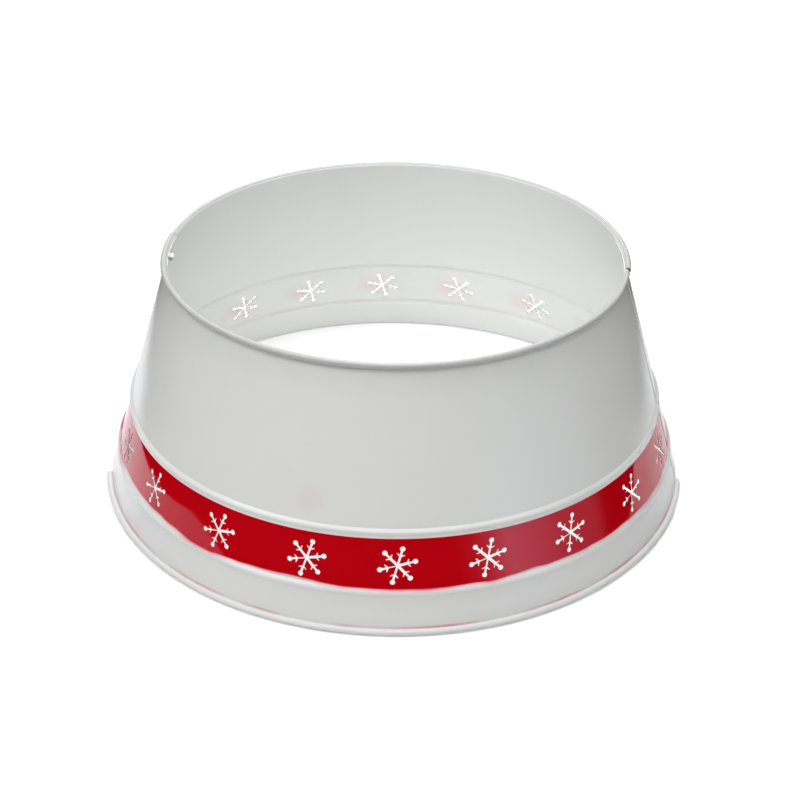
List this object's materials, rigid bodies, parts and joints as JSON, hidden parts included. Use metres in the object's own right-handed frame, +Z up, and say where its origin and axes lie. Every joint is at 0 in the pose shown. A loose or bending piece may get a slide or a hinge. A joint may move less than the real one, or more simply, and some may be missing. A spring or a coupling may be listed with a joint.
{
  "type": "christmas tree collar",
  "caption": "Tapered ring of thin painted sheet steel that stands round the foot of a Christmas tree, with rolled rims, a red band and snowflake cut-outs.",
  "frame": {"origin": "centre of the base, on the floor", "axes": "+Z up along the ring's axis, -Y towards the front, where the front panel is, and +X to the right as seen from the front"},
  "size_m": [0.5534, 0.5604, 0.222],
  "materials": {
    "painted_sheet": "white satin enamel, with a glossy red band sprayed between the two beads",
    "painted_screw": "white enamel",
    "plated_nut": "bright zinc plate"
  },
  "bodies": {
    "root": {"front_panel": "painted_sheet", "rear_panel": "painted_sheet", "upper_screw": "painted_screw", "lower_screw": "painted_screw", "upper_nut": "plated_nut", "lower_nut": "plated_nut"}
  },
  "joints": []
}
